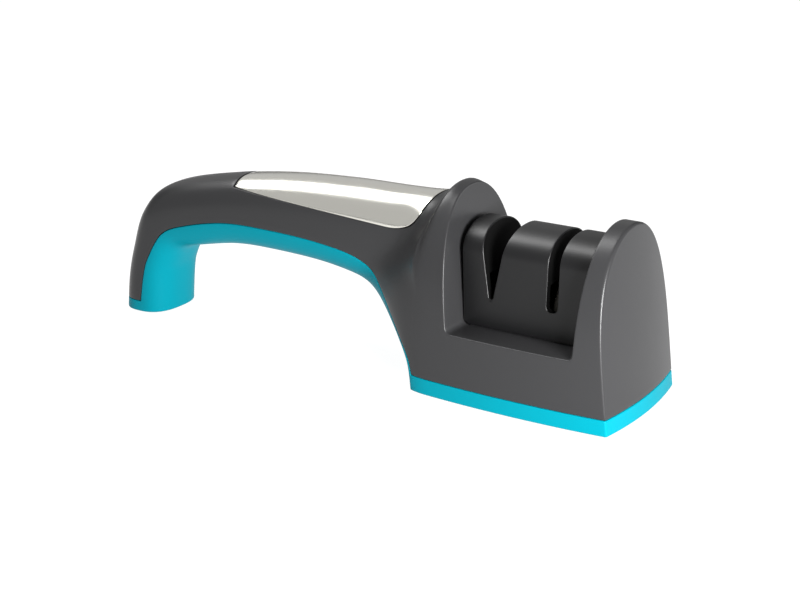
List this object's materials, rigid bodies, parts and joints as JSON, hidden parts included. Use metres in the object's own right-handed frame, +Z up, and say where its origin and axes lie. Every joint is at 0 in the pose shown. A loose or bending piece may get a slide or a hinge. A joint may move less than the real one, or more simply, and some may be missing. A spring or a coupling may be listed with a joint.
{
  "type": "blade sharpener",
  "caption": "Hand-held pull-through blade sharpener: bow handle with a foot and steel trim, and a wide head whose slotted cartridge holds grooved grinding wheels.",
  "frame": {"origin": "middle of the length and width of the sharpener, on the surface it stands on", "axes": "+X along the handle towards the head's end face, +Z up, Y across the handle"},
  "size_m": [0.2054, 0.0528, 0.0652],
  "materials": {
    "anthracite_plastic": "satin moulded",
    "teal_plastic": "satin moulded",
    "black_plastic": "satin moulded",
    "brushed_plate": "brushed along the handle",
    "turned_steel": "turned",
    "screw_steel": "zinc plated",
    "bearing_brass": "turned",
    "coarse_grit": "metal-bonded coarse grit",
    "fine_grit": "metal-bonded fine grit",
    "pad_rubber": "matt"
  },
  "bodies": {
    "housing": {"upper_housing": "anthracite_plastic", "lower_shell": "teal_plastic", "handle_plate": "brushed_plate", "cartridge_cover": "black_plastic", "wheel_carrier": "black_plastic", "coarse_bush_rear": "bearing_brass", "coarse_bush_end": "bearing_brass", "fine_bush_rear": "bearing_brass", "fine_bush_end": "bearing_brass", "cartridge_screw_front": "screw_steel", "cartridge_screw_back": "screw_steel", "head_screw_1": "screw_steel", "head_screw_2": "screw_steel", "head_screw_3": "screw_steel", "head_screw_4": "screw_steel", "foot_screw": "screw_steel", "head_pad": "pad_rubber", "foot_pad": "pad_rubber"},
    "coarse_wheels": {"coarse_axle": "turned_steel", "coarse_wheel_rear": "coarse_grit", "coarse_wheel_end": "coarse_grit", "coarse_washer_rear": "turned_steel", "coarse_washer_end": "turned_steel"},
    "fine_wheels": {"fine_axle": "turned_steel", "fine_wheel_rear": "fine_grit", "fine_wheel_end": "fine_grit", "fine_washer_rear": "turned_steel", "fine_washer_end": "turned_steel"}
  },
  "joints": [
    {"name": "coarse_spin", "type": "hinge", "parent": "housing", "child": "coarse_wheels", "pos_m": [0.05403, 0, 0.0284], "axis": [0.9903, 0.1392, 0], "continuous": true},
    {"name": "fine_spin", "type": "hinge", "parent": "housing", "child": "fine_wheels", "pos_m": [0.07527, 0, 0.0284], "axis": [0.9903, 0.1392, 0], "continuous": true}
  ]
}
